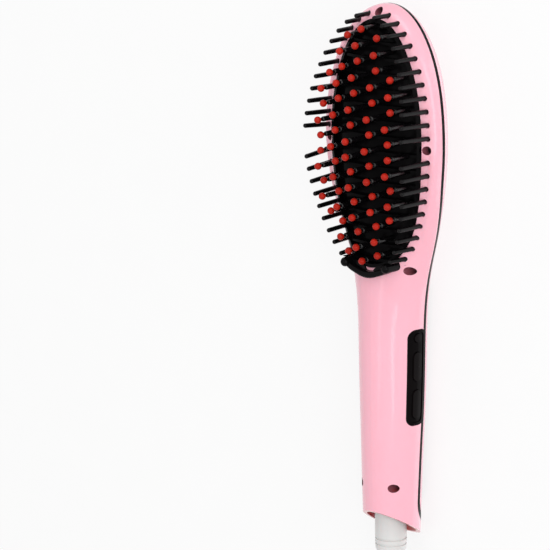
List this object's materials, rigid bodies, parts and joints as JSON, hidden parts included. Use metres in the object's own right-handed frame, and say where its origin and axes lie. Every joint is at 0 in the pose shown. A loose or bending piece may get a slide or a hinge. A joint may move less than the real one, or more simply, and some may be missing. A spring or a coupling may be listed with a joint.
{
  "type": "heated hair straightening brush",
  "caption": "Heated hair-straightening brush: paddle head with ball-tipped heated pins inside a row of guard teeth, handle with side keys and a swivelling cord sleeve.",
  "frame": {"origin": "centre of the brush's footprint, on the surface it lies on with its back down", "axes": "+X along the handle towards the top of the head, +Z out of the bristle side, keys on the -Y side"},
  "size_m": [0.3148, 0.0762, 0.0561],
  "materials": {
    "bare_aluminium": "plain",
    "bed_black": "black ceramic coating, satin",
    "black_gloss": "glossy black",
    "black_satin": "satin black",
    "board_green": "circuit board",
    "brass_contact": "plain",
    "capacitor": "dark sleeve",
    "display_black": "display module, unlit",
    "fuse_metal": "plain",
    "heater": "grey ceramic heater",
    "key_black": "glossy black",
    "mica": "mica sheet",
    "pin_black": "black coated, glossy",
    "pink_shell": "glossy pale pink",
    "screw_steel": "plain",
    "supply_black": "matte",
    "switch_black": "matte",
    "tip_red": "red-orange, satin",
    "white_inner": "white, satin",
    "white_sleeve": "white, satin",
    "window": "dark tinted window"
  },
  "bodies": {
    "housing": {"back_cover": "pink_shell", "bed_frame": "black_satin", "board_screws": "screw_steel", "brush_contacts": "brass_contact", "capacitor": "capacitor", "comb_left": "black_satin", "comb_lower": "black_satin", "comb_right": "black_satin", "display_module": "display_black", "display_window": "window", "front_shell": "pink_shell", "heater_clamp": "bare_aluminium", "heater_element": "heater", "heating_plate": "bed_black", "housing_screws": "screw_steel", "key_board": "board_green", "key_panel": "black_gloss", "key_switches": "switch_black", "main_board": "board_green", "mica_sheet": "mica", "microcontroller": "supply_black", "pins_centre": "pin_black", "pins_inner_left": "pin_black", "pins_inner_right": "pin_black", "pins_outer_left": "pin_black", "pins_outer_right": "pin_black", "plate_screws": "screw_steel", "power_supply": "supply_black", "swivel_retainer": "white_inner", "swivel_socket": "white_inner", "thermal_fuse": "fuse_metal", "thermistor": "black_satin", "tips_centre": "tip_red", "tips_inner_left": "tip_red", "tips_inner_right": "tip_red", "tips_outer_left": "tip_red", "tips_outer_right": "tip_red", "triac": "supply_black", "trim_band": "black_gloss"},
    "power_button": {"power_button": "key_black"},
    "plus_button": {"plus_button": "key_black"},
    "minus_button": {"minus_button": "key_black"},
    "cord_swivel": {"swivel_sleeve": "white_sleeve", "slip_rings": "brass_contact"}
  },
  "joints": [
    {"name": "power_button_press", "type": "slide", "parent": "housing", "child": "power_button", "axis": [0, 1, 0], "range_m": [0, 0.0005], "stiffness_N_per_m": 3000, "springref_m": -0.0003},
    {"name": "plus_button_press", "type": "slide", "parent": "housing", "child": "plus_button", "axis": [0, 1, 0], "range_m": [0, 0.0005], "stiffness_N_per_m": 3000, "springref_m": -0.0003},
    {"name": "minus_button_press", "type": "slide", "parent": "housing", "child": "minus_button", "axis": [0, 1, 0], "range_m": [0, 0.0005], "stiffness_N_per_m": 3000, "springref_m": -0.0003},
    {"name": "cord_swivel_turn", "type": "hinge", "parent": "housing", "child": "cord_swivel", "pos_m": [-0.106, 0, 0.018], "axis": [1, 0, 0], "continuous": true}
  ]
}
